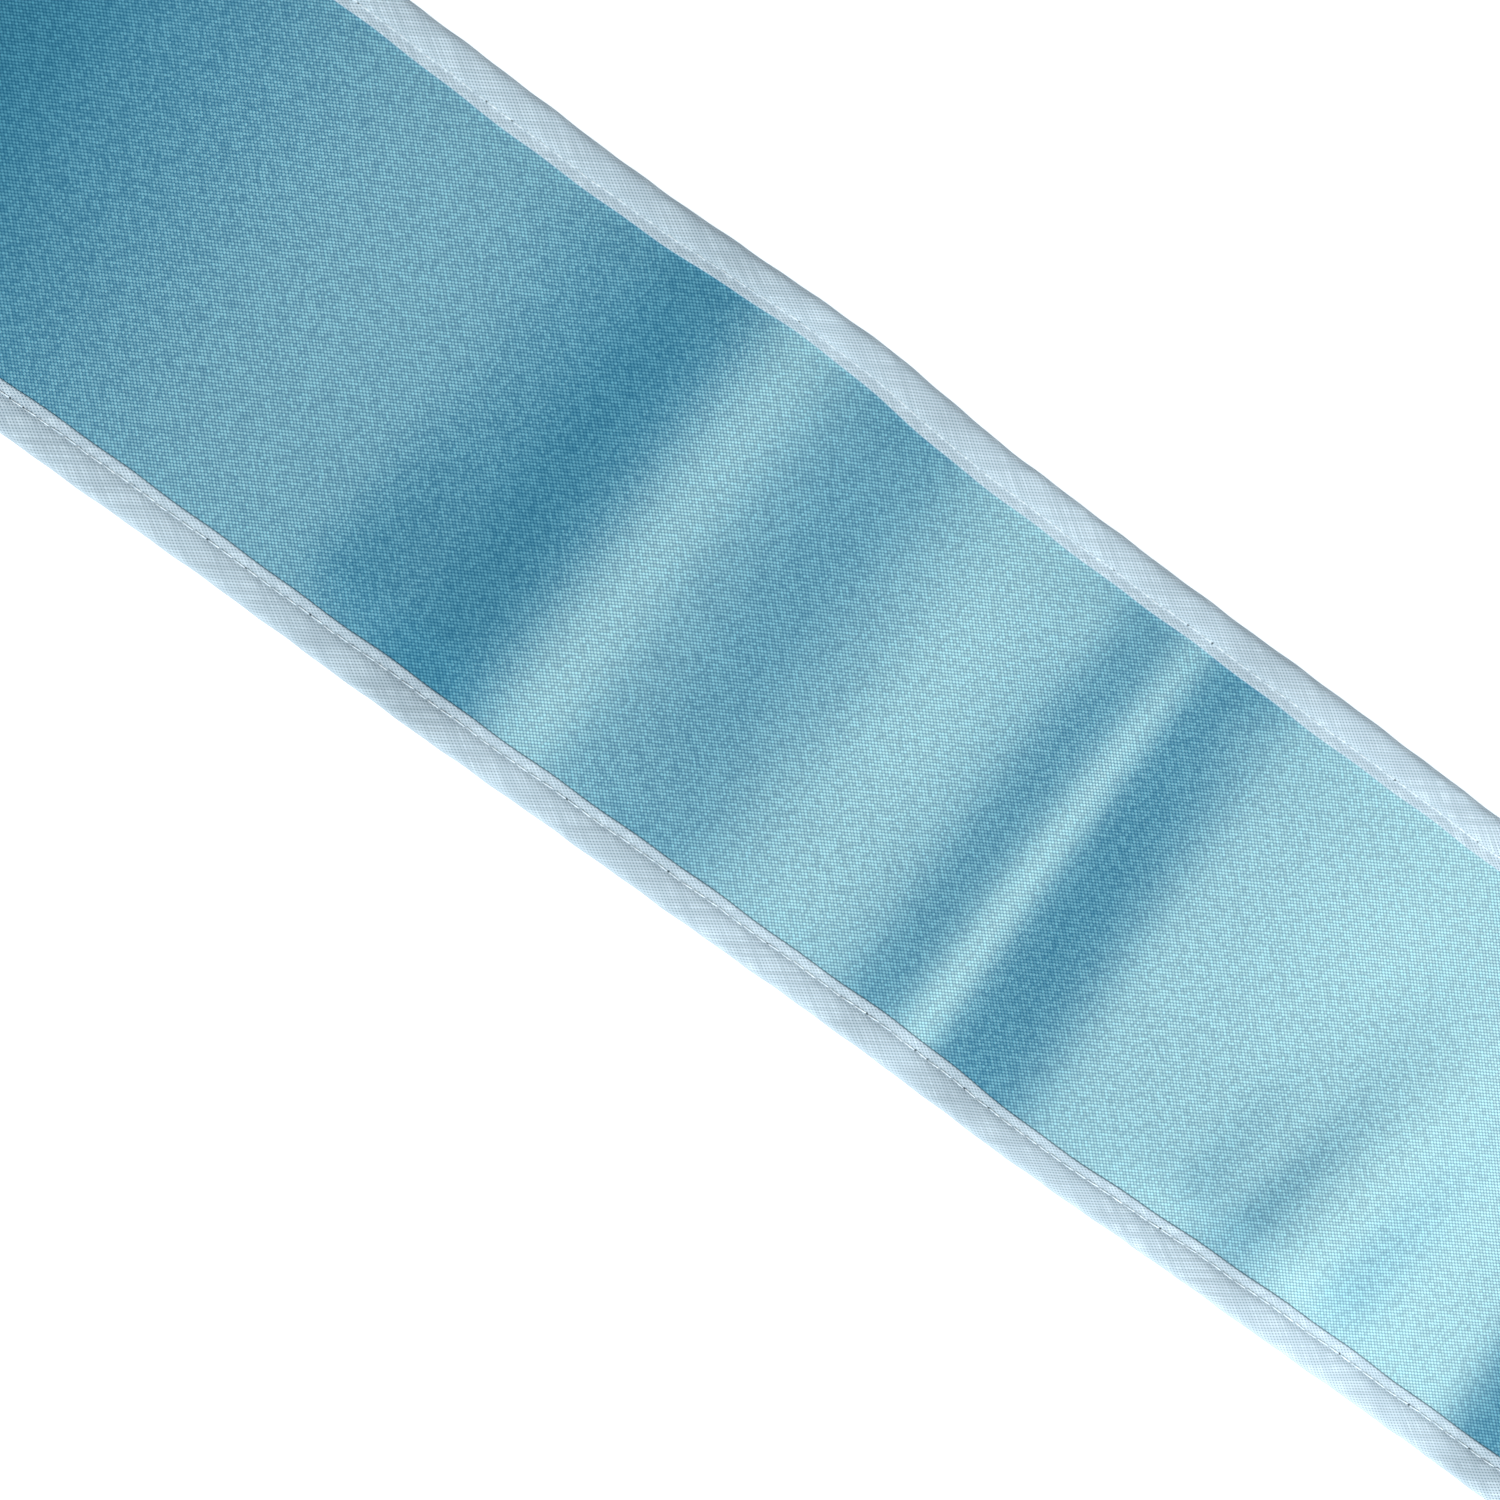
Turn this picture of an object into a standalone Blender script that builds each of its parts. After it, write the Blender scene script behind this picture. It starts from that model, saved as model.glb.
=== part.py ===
"""A satin sash laid flat: one long strip of satin with its four edges bound in folded tape.

X runs along the sash, Y across it and Z up. The origin is below the middle of the sash, on the surface that
it lies on. Between its folds the cloth lies flat there, and each fold is a soft ridge across the strip.
"""

import math
from collections import namedtuple

import bmesh
import bpy

MM = 0.001

# Driving dimensions
LENGTH = 1600 * MM
WIDTH = 95 * MM
SATIN = 1.0 * MM  # wall of the strip
TAPE = 1.0 * MM  # least wall of the folded tape
GAP = 0.3 * MM  # between pieces at a seam

# The folded tape, across its width
BINDING = 7.4 * MM  # from the fold round the edge to the sewn-down edge
LIP = 2.0 * MM  # from the sewn-down edge to the row of stitches
LIP_RISE = 0.2 * MM  # of the sewn-down edge above the least wall
ROLL_RISE = 0.6 * MM  # of the round part above the least wall
ROUND = 1.7 * MM  # how far the round part turns in, above and below
ROUND_STEPS = 6

# How the strip's edge, held up by the tape below it, comes down to the surface
HELD = 0.5 * MM  # past the tape's edge
SETTLE = 34 * MM
SETTLE_STEPS = 5

# Each fold is a soft ridge across the strip. In millimetres: where its crest is along the sash, its height at
# the upper and the lower edge, its reach before and after the crest, and how far the crest leans on its way up.
Fold = namedtuple("Fold", "place upper lower before after lean")
FOLDS = [
    Fold(place=-692, upper=4.4, lower=3.0, before=34, after=38, lean=5),
    Fold(place=-588, upper=2.6, lower=3.7, before=24, after=20, lean=-4),
    Fold(place=-452, upper=6.4, lower=5.0, before=42, after=48, lean=7),
    Fold(place=-338, upper=3.0, lower=2.2, before=20, after=27, lean=2),
    Fold(place=-248, upper=3.0, lower=4.2, before=36, after=30, lean=-5),
    Fold(place=-146, upper=5.2, lower=5.4, before=60, after=104, lean=-3),
    Fold(place=-38, upper=1.4, lower=1.5, before=38, after=80, lean=0),
    Fold(place=-38, upper=0.9, lower=1.1, before=22, after=20, lean=0),
    Fold(place=8, upper=1.1, lower=0.9, before=28, after=35, lean=-4),
    Fold(place=51, upper=0.6, lower=0.7, before=14, after=9, lean=0),
    Fold(place=79, upper=2.5, lower=2.6, before=32, after=100, lean=-5),
    Fold(place=187, upper=2.6, lower=3.5, before=24, after=31, lean=-3),
    Fold(place=301, upper=7.0, lower=4.6, before=42, after=51, lean=6),
    Fold(place=426, upper=3.1, lower=2.4, before=20, after=26, lean=-2),
    Fold(place=543, upper=5.0, lower=6.7, before=45, after=38, lean=-6),
    Fold(place=657, upper=2.4, lower=3.1, before=22, after=27, lean=3),
]
FOLD_STEPS = 4  # sections on each side of a crest
LEAST_STEP = 2.2 * MM  # between one section and the next

# Where the edges are stretched a little outwards, in millimetres
Bow = namedtuple("Bow", "place upper lower before after")
BOWS = [
    Bow(place=-430, upper=0.6, lower=1.1, before=60, after=70),
    Bow(place=-24, upper=1.1, lower=0.0, before=56, after=36),
    Bow(place=318, upper=0.9, lower=0.5, before=66, after=58),
]

SATIN_COLOUR = "6fabc6"
TAPE_COLOUR = "b4cad8"

STRIP_LOW = TAPE + GAP
STRIP_TOP = STRIP_LOW + SATIN
TAPE_INSIDE = STRIP_TOP + GAP
LEAST_TOP = TAPE_INSIDE + TAPE
MITRE = GAP / math.sqrt(2)  # each tape stops this far short of the corner's diagonal


def bell(past, before, after):
    """1 at a crest, falling smoothly to 0 at its reach on each side."""
    share = past / before if past < 0 else past / after
    return max(1 - share**2, 0.0) ** 3


def fold_height(x, y):
    """How high the folds lift the cloth at a point."""
    share = 0.5 + y / WIDTH
    height = 0.0
    for fold in FOLDS:
        past = x - (fold.place + fold.lean * (share - 0.5)) * MM
        crest = fold.lower + (fold.upper - fold.lower) * share
        height += crest * MM * bell(past, fold.before * MM, fold.after * MM)
    return height


def lay(x, y, z):
    """A point of the straight, flat sash as the cloth lies, with its folds and the bows of its edges."""
    share = 0.5 + y / WIDTH
    out = 0.0
    for bow in BOWS:
        stretch = bow.upper * share - bow.lower * (1 - share)
        out += stretch * MM * bell(x - bow.place * MM, bow.before * MM, bow.after * MM)
    return (x, y + out, z + fold_height(x, y))


def tape_lift(x, y):
    """How high the tape that is folded under the strip's edge holds it."""
    inward = min(WIDTH / 2 - abs(y), LENGTH / 2 - abs(x)) - BINDING - HELD
    share = min(max(inward / SETTLE, 0.0), 1.0)
    return STRIP_LOW * 0.5 * (1 + math.cos(math.pi * share))


def settle_places(half):
    """The places, out from the middle of a side, where the strip bends down from the tape."""
    steps = range(SETTLE_STEPS + 1)
    places = [half - BINDING - HELD - SETTLE * step / SETTLE_STEPS for step in steps]
    return [half - TAPE - GAP] + places


def fold_places():
    """The sections along the sash that the folds and bows need, with none too near a crest or each other."""
    places = sorted({fold.place * MM for fold in FOLDS} | {bow.place * MM for bow in BOWS})
    for fold in FOLDS:
        for step in range(-FOLD_STEPS, FOLD_STEPS + 1):
            reach = fold.before if step < 0 else fold.after
            place = (fold.place + reach * step / FOLD_STEPS) * MM
            if min(abs(place - other) for other in places) > LEAST_STEP:
                places.append(place)
    return sorted(places)


def strip_rings():
    """The strip of satin, section by section along the sash."""
    ends = settle_places(LENGTH / 2)
    sides = settle_places(WIDTH / 2)
    along = sorted([-x for x in ends] + fold_places() + ends)
    across = sorted([-y for y in sides] + [0.0] + sides)
    rings = []
    for x in along:
        low = [lay(x, y, tape_lift(x, y)) for y in across]
        top = [(x, y, z + SATIN) for x, y, z in reversed(low)]
        rings.append(low + top)
    return rings


def tape_outline():
    """The folded tape in section, as places inward from the sash's edge and heights."""
    low_edge = (BINDING, 0.0)
    half = (LEAST_TOP + ROLL_RISE) / 2
    angles = [math.pi * step / ROUND_STEPS for step in range(ROUND_STEPS + 1)]
    edge = [(ROUND * (1 - math.sin(angle)), half * (1 - math.cos(angle))) for angle in angles]
    stitches = BINDING - LIP
    face = [
        ((ROUND + stitches) / 2, LEAST_TOP + ROLL_RISE * 0.8),
        (stitches, LEAST_TOP),
        (BINDING - LIP / 2, LEAST_TOP + LIP_RISE),
        (BINDING, LEAST_TOP),
    ]
    inside = [(BINDING, TAPE_INSIDE), (TAPE, TAPE_INSIDE), (TAPE, TAPE), (BINDING, TAPE)]
    return [low_edge] + edge + face + inside


def edge_tape_rings(side):
    """The tape on a long edge, side +1 the upper and -1 the lower, mitred at both ends."""
    outline = tape_outline()
    rings = []
    for place in [-LENGTH / 2] + fold_places() + [LENGTH / 2]:
        ring = []
        for inward, z in outline:
            cut = LENGTH / 2 - inward - MITRE
            x = min(max(place, -cut), cut)
            y = side * (WIDTH / 2 - inward)
            ring.append(lay(x, y, z))
        rings.append(ring)
    return rings


def end_tape_rings(end):
    """The tape on an end, +1 the right and -1 the left, mitred at both edges."""
    outline = tape_outline()
    rings = []
    for side in (-1, 1):
        ring = []
        for inward, z in outline:
            ring.append((end * (LENGTH / 2 - inward), side * (WIDTH / 2 - inward - MITRE), z))
        rings.append(ring)
    return rings


def linear(colour):
    """An sRGB hex colour as linear red, green, blue and alpha."""
    parts = [int(colour[at : at + 2], 16) / 255 for at in (0, 2, 4)]
    return [p / 12.92 if p <= 0.04045 else ((p + 0.055) / 1.055) ** 2.4 for p in parts] + [1.0]


def cloth(name, colour, roughness):
    """A cloth's material."""
    material = bpy.data.materials.new(name)
    material.use_nodes = True
    shader = material.node_tree.nodes["Principled BSDF"]
    shader.inputs["Base Color"].default_value = linear(colour)
    shader.inputs["Roughness"].default_value = roughness
    shader.inputs["Metallic"].default_value = 0.0
    return material


def sewn_piece(name, rings, material):
    """One closed solid through a row of rings, each with the same number of points."""
    mesh = bmesh.new()
    rows = [[mesh.verts.new(point) for point in ring] for ring in rings]
    for row, following in zip(rows, rows[1:]):
        for at in range(len(row)):
            mesh.faces.new((row[at - 1], row[at], following[at], following[at - 1]))
    mesh.faces.new(rows[0])
    mesh.faces.new(reversed(rows[-1]))
    bmesh.ops.recalc_face_normals(mesh, faces=mesh.faces)
    data = bpy.data.meshes.new(name)
    mesh.to_mesh(data)
    mesh.free()
    data.shade_smooth()
    data.set_sharp_from_angle(angle=math.radians(40))
    data.materials.append(material)
    piece = bpy.data.objects.new(name, data)
    bpy.context.scene.collection.objects.link(piece)
    return piece


def build():
    for old in list(bpy.data.objects):
        bpy.data.objects.remove(old, do_unlink=True)
    satin = cloth("satin", SATIN_COLOUR, roughness=0.35)
    tape = cloth("bias_tape", TAPE_COLOUR, roughness=0.85)
    sewn_piece("satin_panel", strip_rings(), satin)
    sewn_piece("upper_edge_binding", edge_tape_rings(1), tape)
    sewn_piece("lower_edge_binding", edge_tape_rings(-1), tape)
    sewn_piece("left_end_binding", end_tape_rings(-1), tape)
    sewn_piece("right_end_binding", end_tape_rings(1), tape)


build()
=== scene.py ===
# %% [markdown]
# A satin sash, laid flat and seen from above. The real one is a long strip of light blue satin, cut
# straight, with a narrow tape of plain cotton folded over its edges and sewn down with one row of
# stitches. This lesson starts from the solid model of the sash, which is at its real size, and gives it
# thin cloth, real stitches, a weave and light. The solids stay where they are: each new piece takes the
# place of one of them.

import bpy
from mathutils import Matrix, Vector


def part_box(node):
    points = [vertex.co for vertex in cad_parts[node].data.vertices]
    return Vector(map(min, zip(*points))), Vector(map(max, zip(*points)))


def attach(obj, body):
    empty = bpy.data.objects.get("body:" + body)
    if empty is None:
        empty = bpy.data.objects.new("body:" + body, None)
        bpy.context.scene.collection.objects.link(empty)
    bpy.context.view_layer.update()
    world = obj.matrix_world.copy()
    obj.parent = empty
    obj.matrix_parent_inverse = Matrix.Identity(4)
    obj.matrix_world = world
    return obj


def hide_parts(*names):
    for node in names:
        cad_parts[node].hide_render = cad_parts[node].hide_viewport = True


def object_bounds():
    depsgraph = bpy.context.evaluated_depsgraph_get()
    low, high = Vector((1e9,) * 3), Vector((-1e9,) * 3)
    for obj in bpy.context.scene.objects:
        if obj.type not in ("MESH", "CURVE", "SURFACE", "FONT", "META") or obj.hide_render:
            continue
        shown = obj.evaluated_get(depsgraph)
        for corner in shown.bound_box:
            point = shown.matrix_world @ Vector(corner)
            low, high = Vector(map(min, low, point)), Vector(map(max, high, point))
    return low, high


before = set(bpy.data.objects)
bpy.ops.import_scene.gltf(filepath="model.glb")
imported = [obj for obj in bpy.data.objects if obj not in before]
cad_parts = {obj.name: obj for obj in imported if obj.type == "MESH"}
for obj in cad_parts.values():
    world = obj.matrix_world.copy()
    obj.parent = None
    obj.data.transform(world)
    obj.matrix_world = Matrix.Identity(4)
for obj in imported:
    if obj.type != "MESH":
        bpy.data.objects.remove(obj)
cad_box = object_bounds()
print("solid model, lowest and highest corner:", [tuple(round(v, 4) for v in corner) for corner in cad_box])

# %% [markdown]
# Blender works in metres, so a millimetre is a named value. The sash's length and the width of its folded
# tape are read from the solid model, and its width between the edges is stated. Every other size follows
# where it is first needed.

# %% Modules and main sizes
import math
from collections import namedtuple

import bmesh
import bpy
import numpy as np
from mathutils import Matrix, Vector

MM = 0.001
LENGTH = cad_box[1].x - cad_box[0].x
WIDTH = 95 * MM
end_low, end_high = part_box("left_end_binding")
BINDING = end_high.x - end_low.x  # from the sash's edge to the tape's sewn-down edge
print(f"sash {LENGTH:.3f} by {WIDTH:.3f} m, tape {BINDING / MM:.1f} mm wide")

# %% [markdown]
# The cloth doesn't lie quite flat. Where it was folded or handled it keeps soft ridges that run across
# the strip, and satin shows each of them as a band of light and dark. A ridge could be sculpted or
# simulated, but then its place couldn't be chosen. Here each is one row of a table: where its crest is
# along the sash, its height at the upper and the lower edge, how far it reaches before and after the
# crest, and how far the crest leans on its way up. A smooth bell gives its section. In a few places the
# edges are also stretched a little outwards, and a second table holds these bows.

# %% Folds across the strip
Fold = namedtuple("Fold", "place upper lower before after lean")
FOLDS = [  # in millimetres, and as in the solid model where nothing else is said
    Fold(place=-692, upper=4.4, lower=3.0, before=34, after=38, lean=5),
    Fold(place=-588, upper=2.6, lower=3.7, before=24, after=20, lean=-4),
    Fold(place=-452, upper=6.4, lower=5.0, before=42, after=48, lean=7),
    Fold(place=-338, upper=3.0, lower=2.2, before=20, after=27, lean=2),
    Fold(place=-248, upper=3.0, lower=4.2, before=36, after=30, lean=-5),
    Fold(place=-146, upper=5.2, lower=5.4, before=60, after=104, lean=-3),
    Fold(place=-38, upper=1.4, lower=1.5, before=38, after=80, lean=0),
    Fold(place=-38, upper=0.9, lower=1.1, before=22, after=20, lean=0),
    Fold(place=8, upper=1.1, lower=0.9, before=28, after=35, lean=-4),
    Fold(place=51, upper=0.6, lower=0.7, before=14, after=9, lean=0),
    Fold(place=79, upper=2.5, lower=2.6, before=32, after=100, lean=-5),
    Fold(place=137, upper=0.0, lower=1.8, before=26, after=26, lean=12),  # not in the solid model
    Fold(place=187, upper=2.6, lower=3.5, before=24, after=31, lean=-3),
    Fold(place=301, upper=7.0, lower=4.6, before=42, after=51, lean=6),
    Fold(place=426, upper=3.1, lower=2.4, before=20, after=26, lean=-2),
    Fold(place=543, upper=5.0, lower=6.7, before=45, after=38, lean=-6),
    Fold(place=657, upper=2.4, lower=3.1, before=22, after=27, lean=3),
]
Bow = namedtuple("Bow", "place upper lower before after")
BOWS = [  # in millimetres, as in the solid model
    Bow(place=-430, upper=0.6, lower=1.1, before=60, after=70),
    Bow(place=-24, upper=1.1, lower=0.0, before=56, after=36),
    Bow(place=318, upper=0.9, lower=0.5, before=66, after=58),
]


def bell(past, before, after):
    """1 at a crest, falling smoothly to 0 at its reach on each side."""
    share = np.where(past < 0, past / before, past / after)
    return np.clip(1 - share**2, 0, None) ** 3


def fold_height(x, y):
    """How high the folds lift the cloth at each point."""
    share = 0.5 + y / WIDTH
    height = np.zeros_like(x)
    for fold in FOLDS:
        past = x - (fold.place + fold.lean * (share - 0.5)) * MM
        crest = (fold.lower + (fold.upper - fold.lower) * share) * MM
        height += crest * bell(past, fold.before * MM, fold.after * MM)
    return height


def lay(x, y, z):
    """Points of the straight, flat sash as the cloth lies, with its folds and the bows of its edges."""
    share = 0.5 + y / WIDTH
    out = np.zeros_like(x)
    for bow in BOWS:
        stretch = (bow.upper * share - bow.lower * (1 - share)) * MM
        out += stretch * bell(x - bow.place * MM, bow.before * MM, bow.after * MM)
    return np.stack([x, y + out, z + fold_height(x, y)], axis=-1)


crests = np.array([fold.place for fold in FOLDS]) * MM
print("folds:", len(FOLDS), "highest", round(float(fold_height(crests, crests * 0).max() / MM), 1), "mm")

# %% [markdown]
# A material is a small tree of nodes. One function adds a node with its settings and links, so that a
# tree reads as a list of steps. Another turns a colour picked as an sRGB hex value into the linear one
# that Blender works with.


# %% Helpers for materials and objects
def add(tree, kind, inputs=None, **settings):
    """A new node. An input is set to a value, or linked when it is given another node's socket."""
    node = tree.nodes.new(kind)
    for name, value in settings.items():
        setattr(node, name, value)
    for socket, value in (inputs or {}).items():
        if isinstance(value, bpy.types.NodeSocket):
            tree.links.new(value, node.inputs[socket])
        else:
            node.inputs[socket].default_value = value
    return node


def linear(colour):
    """An sRGB hex colour as linear red, green, blue and alpha."""
    parts = [int(colour[at : at + 2], 16) / 255 for at in (0, 2, 4)]
    return [p / 12.92 if p <= 0.04045 else ((p + 0.055) / 1.055) ** 2.4 for p in parts] + [1.0]


def new_material(name):
    material = bpy.data.materials.new(name)
    material.use_nodes = True
    material.node_tree.nodes.clear()
    return material, material.node_tree


def put_in_scene(name, data):
    made = bpy.data.objects.new(name, data)
    bpy.context.scene.collection.objects.link(made)
    return made


print("middle grey as linear values:", [round(part, 3) for part in linear("808080")])

# %% [markdown]
# Both weaves on the sash are lattices: two families of rows, each at its own angle to the cloth's length.
# A function numbers the rows of one family from the UV map, and the whole part of that number tells one
# row from the next. Another function turns the number into a rounded ridge along each row.


# %% Helpers for weaves
def row_number(tree, place, angle, spacing):
    """Counts the rows, from the separated u and v of the cloth's UV map."""
    sideways = add(tree, "ShaderNodeMath", {0: place[0], 1: -math.sin(angle) / spacing}, operation="MULTIPLY")
    steps = {0: place[1], 1: math.cos(angle) / spacing, 2: sideways.outputs[0]}
    return add(tree, "ShaderNodeMath", steps, operation="MULTIPLY_ADD").outputs[0]


def row_ridge(tree, number):
    """0 between two rows and 1 along the middle of each."""
    half_turns = add(tree, "ShaderNodeMath", {0: number, 1: math.pi}, operation="MULTIPLY").outputs[0]
    wave = add(tree, "ShaderNodeMath", {0: half_turns}, operation="SINE").outputs[0]
    return add(tree, "ShaderNodeMath", {0: wave}, operation="ABSOLUTE").outputs[0]


meeting = 0.5 / math.sin(math.radians(30))
print(f"rows 0.5 mm apart, at 30 degrees to the edge, meet it every {meeting:.1f} mm")

# %% [markdown]
# Satin is woven so that most of each long warp thread floats on the face. The floats lie side by side in
# a slanted lattice. The weave could be modelled thread by thread, but here it is three waves: two across
# the rows of floats, half a millimetre apart as on the real cloth, and one that joins the floats into
# slanted lines. Each float also has a height of its own, and the dye is a little uneven. The height also
# sets the colour, so a gap carries painted shade and a raised float painted sheen.

# %% The satin's weave
LATTICE = 0.52 * MM  # from one row of floats to the next
ROW_ANGLES = math.radians(-44.5), math.radians(29.7)  # of the two families of rows
SLANT_SHARE = 0.3  # how much the slanted lines count beside the single floats
FLOAT_SHADES = 0.66, 1.2  # the least and the most that a float may have of its height
DYE_SHADES = 0.92, 1.08  # the same for a spot of the dyed yarn
MOTTLE = 1.3 * MM  # from one such spot to the next


def satin_floats(tree, uv):
    """How far the thread is raised, from 0 in a gap to 1 on a float, and a chance value for each float."""
    place = add(tree, "ShaderNodeSeparateXYZ", {0: uv}).outputs
    numbers = [row_number(tree, place, angle, LATTICE) for angle in ROW_ANGLES]
    slanted = add(tree, "ShaderNodeMath", {0: numbers[0], 1: numbers[1]}, operation="ADD").outputs[0]
    ridges = [row_ridge(tree, number) for number in (*numbers, slanted)]
    dome = add(tree, "ShaderNodeMath", {0: ridges[0], 1: ridges[1]}, operation="MULTIPLY").outputs[0]
    even = add(tree, "ShaderNodeMix", {0: SLANT_SHARE, 2: dome, 3: ridges[2]}).outputs[0]

    cells = [add(tree, "ShaderNodeMath", {0: number}, operation="FLOOR").outputs[0] for number in numbers]
    cell = add(tree, "ShaderNodeCombineXYZ", {0: cells[0], 1: cells[1]}).outputs[0]
    chance = add(tree, "ShaderNodeTexWhiteNoise", {0: cell}, noise_dimensions="2D").outputs[0]
    least, most = FLOAT_SHADES
    shade = add(tree, "ShaderNodeMapRange", {0: chance, 3: least, 4: most}).outputs[0]
    own = add(tree, "ShaderNodeMath", {0: even, 1: shade}, operation="MULTIPLY").outputs[0]

    spots = add(tree, "ShaderNodeTexNoise", {"Vector": uv, "Scale": 1 / MOTTLE, "Detail": 2.0}).outputs[0]
    least, most = DYE_SHADES
    dyed = add(tree, "ShaderNodeMapRange", {0: spots, 1: 0.3, 2: 0.7, 3: least, 4: most}).outputs[0]
    raised = add(tree, "ShaderNodeMath", {0: own, 1: dyed}, operation="MULTIPLY").outputs[0]
    return raised, chance


print(f"satin lattice: {1 / (LATTICE / MM):.1f} rows of floats to the millimetre")

# %% [markdown]
# Light glances off the floats as off brushed metal: far more along the strip than across it. So the
# shader is anisotropic, and its tangent follows the cloth's own UV map. Polyester's IOR is about 1.6.
# The value here is higher, because a bundle of glossy fibres throws back more light than one smooth
# sheet, and it was matched to the cloth's bright bands. The gaps hardly gloss, and their dark deep blue is
# painted shade; the light blue of the floats carries painted sheen.

# %% Satin
# the dark colour is painted shade in a gap between floats; the light one is the floats' own blue with painted
# sheen
SATIN_SHADED_GAP, SATIN_FLOAT_AND_SHEEN = "055e88", "48b9e0"
SATIN_GLOSS = 0.2, 0.95  # in a gap, and on a float
SATIN_ROUGHNESS = 0.54, 0.66  # of the smoothest and the roughest float


def woven_satin():
    material, tree = new_material("polyester satin, woven")
    uv = add(tree, "ShaderNodeUVMap", uv_map="cloth").outputs[0]
    raised, chance = satin_floats(tree, uv)
    # painted light: low places, the gaps, are coloured dark as painted shade, and high floats light as
    # painted sheen
    colour = add(tree, "ShaderNodeValToRGB", {0: raised}).outputs[0]
    ramp = colour.node.color_ramp
    ramp.elements[0].position, ramp.elements[1].position = 0.1, 0.95
    ramp.elements[0].color = linear(SATIN_SHADED_GAP)
    ramp.elements[1].color = linear(SATIN_FLOAT_AND_SHEEN)
    dull, glossy = SATIN_GLOSS
    smooth, rough = SATIN_ROUGHNESS
    finish = {
        "Base Color": colour,
        "Roughness": add(tree, "ShaderNodeMapRange", {0: chance, 3: smooth, 4: rough}).outputs[0],
        "IOR": 2.65,
        "Specular Tint": linear("efffe8"),
        "Anisotropic": 0.88,
        "Anisotropic Rotation": 0.25,
    }
    gloss = add(tree, "ShaderNodeMapRange", {0: raised, 1: 0.1, 2: 0.75, 3: dull, 4: glossy})
    finish["Specular IOR Level"] = gloss.outputs[0]
    bump = add(tree, "ShaderNodeBump", {"Height": raised, "Strength": 0.5, "Distance": 0.05 * MM})
    finish["Normal"] = bump.outputs[0]
    tangent = add(tree, "ShaderNodeTangent", direction_type="UV_MAP", uv_map="cloth")
    finish["Tangent"] = tangent.outputs[0]
    shader = add(tree, "ShaderNodeBsdfPrincipled", finish)
    add(tree, "ShaderNodeOutputMaterial", {0: shader.outputs[0]})
    return material


satin = woven_satin()
print("material:", satin.name)

# %% [markdown]
# The tape is a plain weave cut on the bias, which lets it fold round an edge without a pucker. It is
# pulled a little as it is sewn, so its threads run at about 33 degrees to the edge and not at 45. It is
# spun thread and so nearly matt. What shows of the weave is a lattice of small gaps between the threads,
# half a millimetre apart and coloured dark as painted shade, and a slight unevenness from thread to thread.

# %% Bias tape
TAPE_THREAD = 0.48 * MM  # from one thread to the next
TAPE_ANGLES = math.radians(33), math.radians(-33)  # of its threads, from the edge
# the dark colour is painted shade in the gaps between the threads; the light one is the threads' own colour
TAPE_SHADED_GAP, TAPE_LIGHT = "4c7088", "cee2ef"
THIN_THREAD = 0.82  # the height of the thinnest stretch, beside 1 for a full thread
FAMILY_SHIFT = 37.0  # keeps the chance values of one family of threads apart from the other's


def tape_threads(tree, uv):
    """How far the thread is raised, from 0 in a gap to 1."""
    place = add(tree, "ShaderNodeSeparateXYZ", {0: uv}).outputs
    gaps, chances = [], []
    for angle in TAPE_ANGLES:
        number = row_number(tree, place, angle, TAPE_THREAD)
        whole = add(tree, "ShaderNodeMath", {0: number}, operation="FLOOR").outputs[0]
        own = add(tree, "ShaderNodeMath", {0: whole, 1: FAMILY_SHIFT * angle}, operation="ADD").outputs[0]
        chances.append(add(tree, "ShaderNodeTexWhiteNoise", {"W": own}, noise_dimensions="1D").outputs[0])
        ridge = row_ridge(tree, number)
        gaps.append(add(tree, "ShaderNodeMath", {0: 1.0, 1: ridge}, operation="SUBTRACT").outputs[0])
    gap = add(tree, "ShaderNodeMath", {0: gaps[0], 1: gaps[1]}, operation="MULTIPLY").outputs[0]
    full = add(tree, "ShaderNodeMath", {0: 1.0, 1: gap}, operation="SUBTRACT").outputs[0]
    chance = add(tree, "ShaderNodeMath", {0: chances[0], 1: chances[1]}, operation="MULTIPLY").outputs[0]
    slub = add(tree, "ShaderNodeMapRange", {0: chance, 3: THIN_THREAD, 4: 1.0}).outputs[0]
    return add(tree, "ShaderNodeMath", {0: full, 1: slub}, operation="MULTIPLY").outputs[0]


def woven_tape():
    material, tree = new_material("cotton bias tape, plain weave")
    raised = tape_threads(tree, add(tree, "ShaderNodeUVMap", uv_map="cloth").outputs[0])
    bump = add(tree, "ShaderNodeBump", {"Height": raised, "Strength": 0.5, "Distance": 0.08 * MM})
    # painted shade: the gaps between the threads are coloured dark
    colour = add(tree, "ShaderNodeValToRGB", {0: raised}).outputs[0]
    ramp = colour.node.color_ramp
    ramp.elements[0].position = 0.3
    ramp.elements[0].color = linear(TAPE_SHADED_GAP)
    ramp.elements[1].color = linear(TAPE_LIGHT)
    finish = {
        "Base Color": colour,
        "Roughness": 0.82,
        "IOR": 1.5,
        "Specular IOR Level": 0.3,
        "Sheen Weight": 0.15,
        "Sheen Roughness": 0.5,
        "Normal": bump.outputs[0],
    }
    shader = add(tree, "ShaderNodeBsdfPrincipled", finish)
    add(tree, "ShaderNodeOutputMaterial", {0: shader.outputs[0]})
    return material


tape = woven_tape()
print("material:", tape.name)

# %% [markdown]
# The sewing thread is fine spun polyester, a shade paler than the tape and a little glossier. Its fibres
# are far finer than the picture shows, so one patch of light and dark stands for many of them.

# %% Sewing thread
THREAD_DARK, THREAD_LIGHT = "bdd3e1", "e2eff7"
FIBRES = 0.4 * MM  # from one patch to the next


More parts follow.
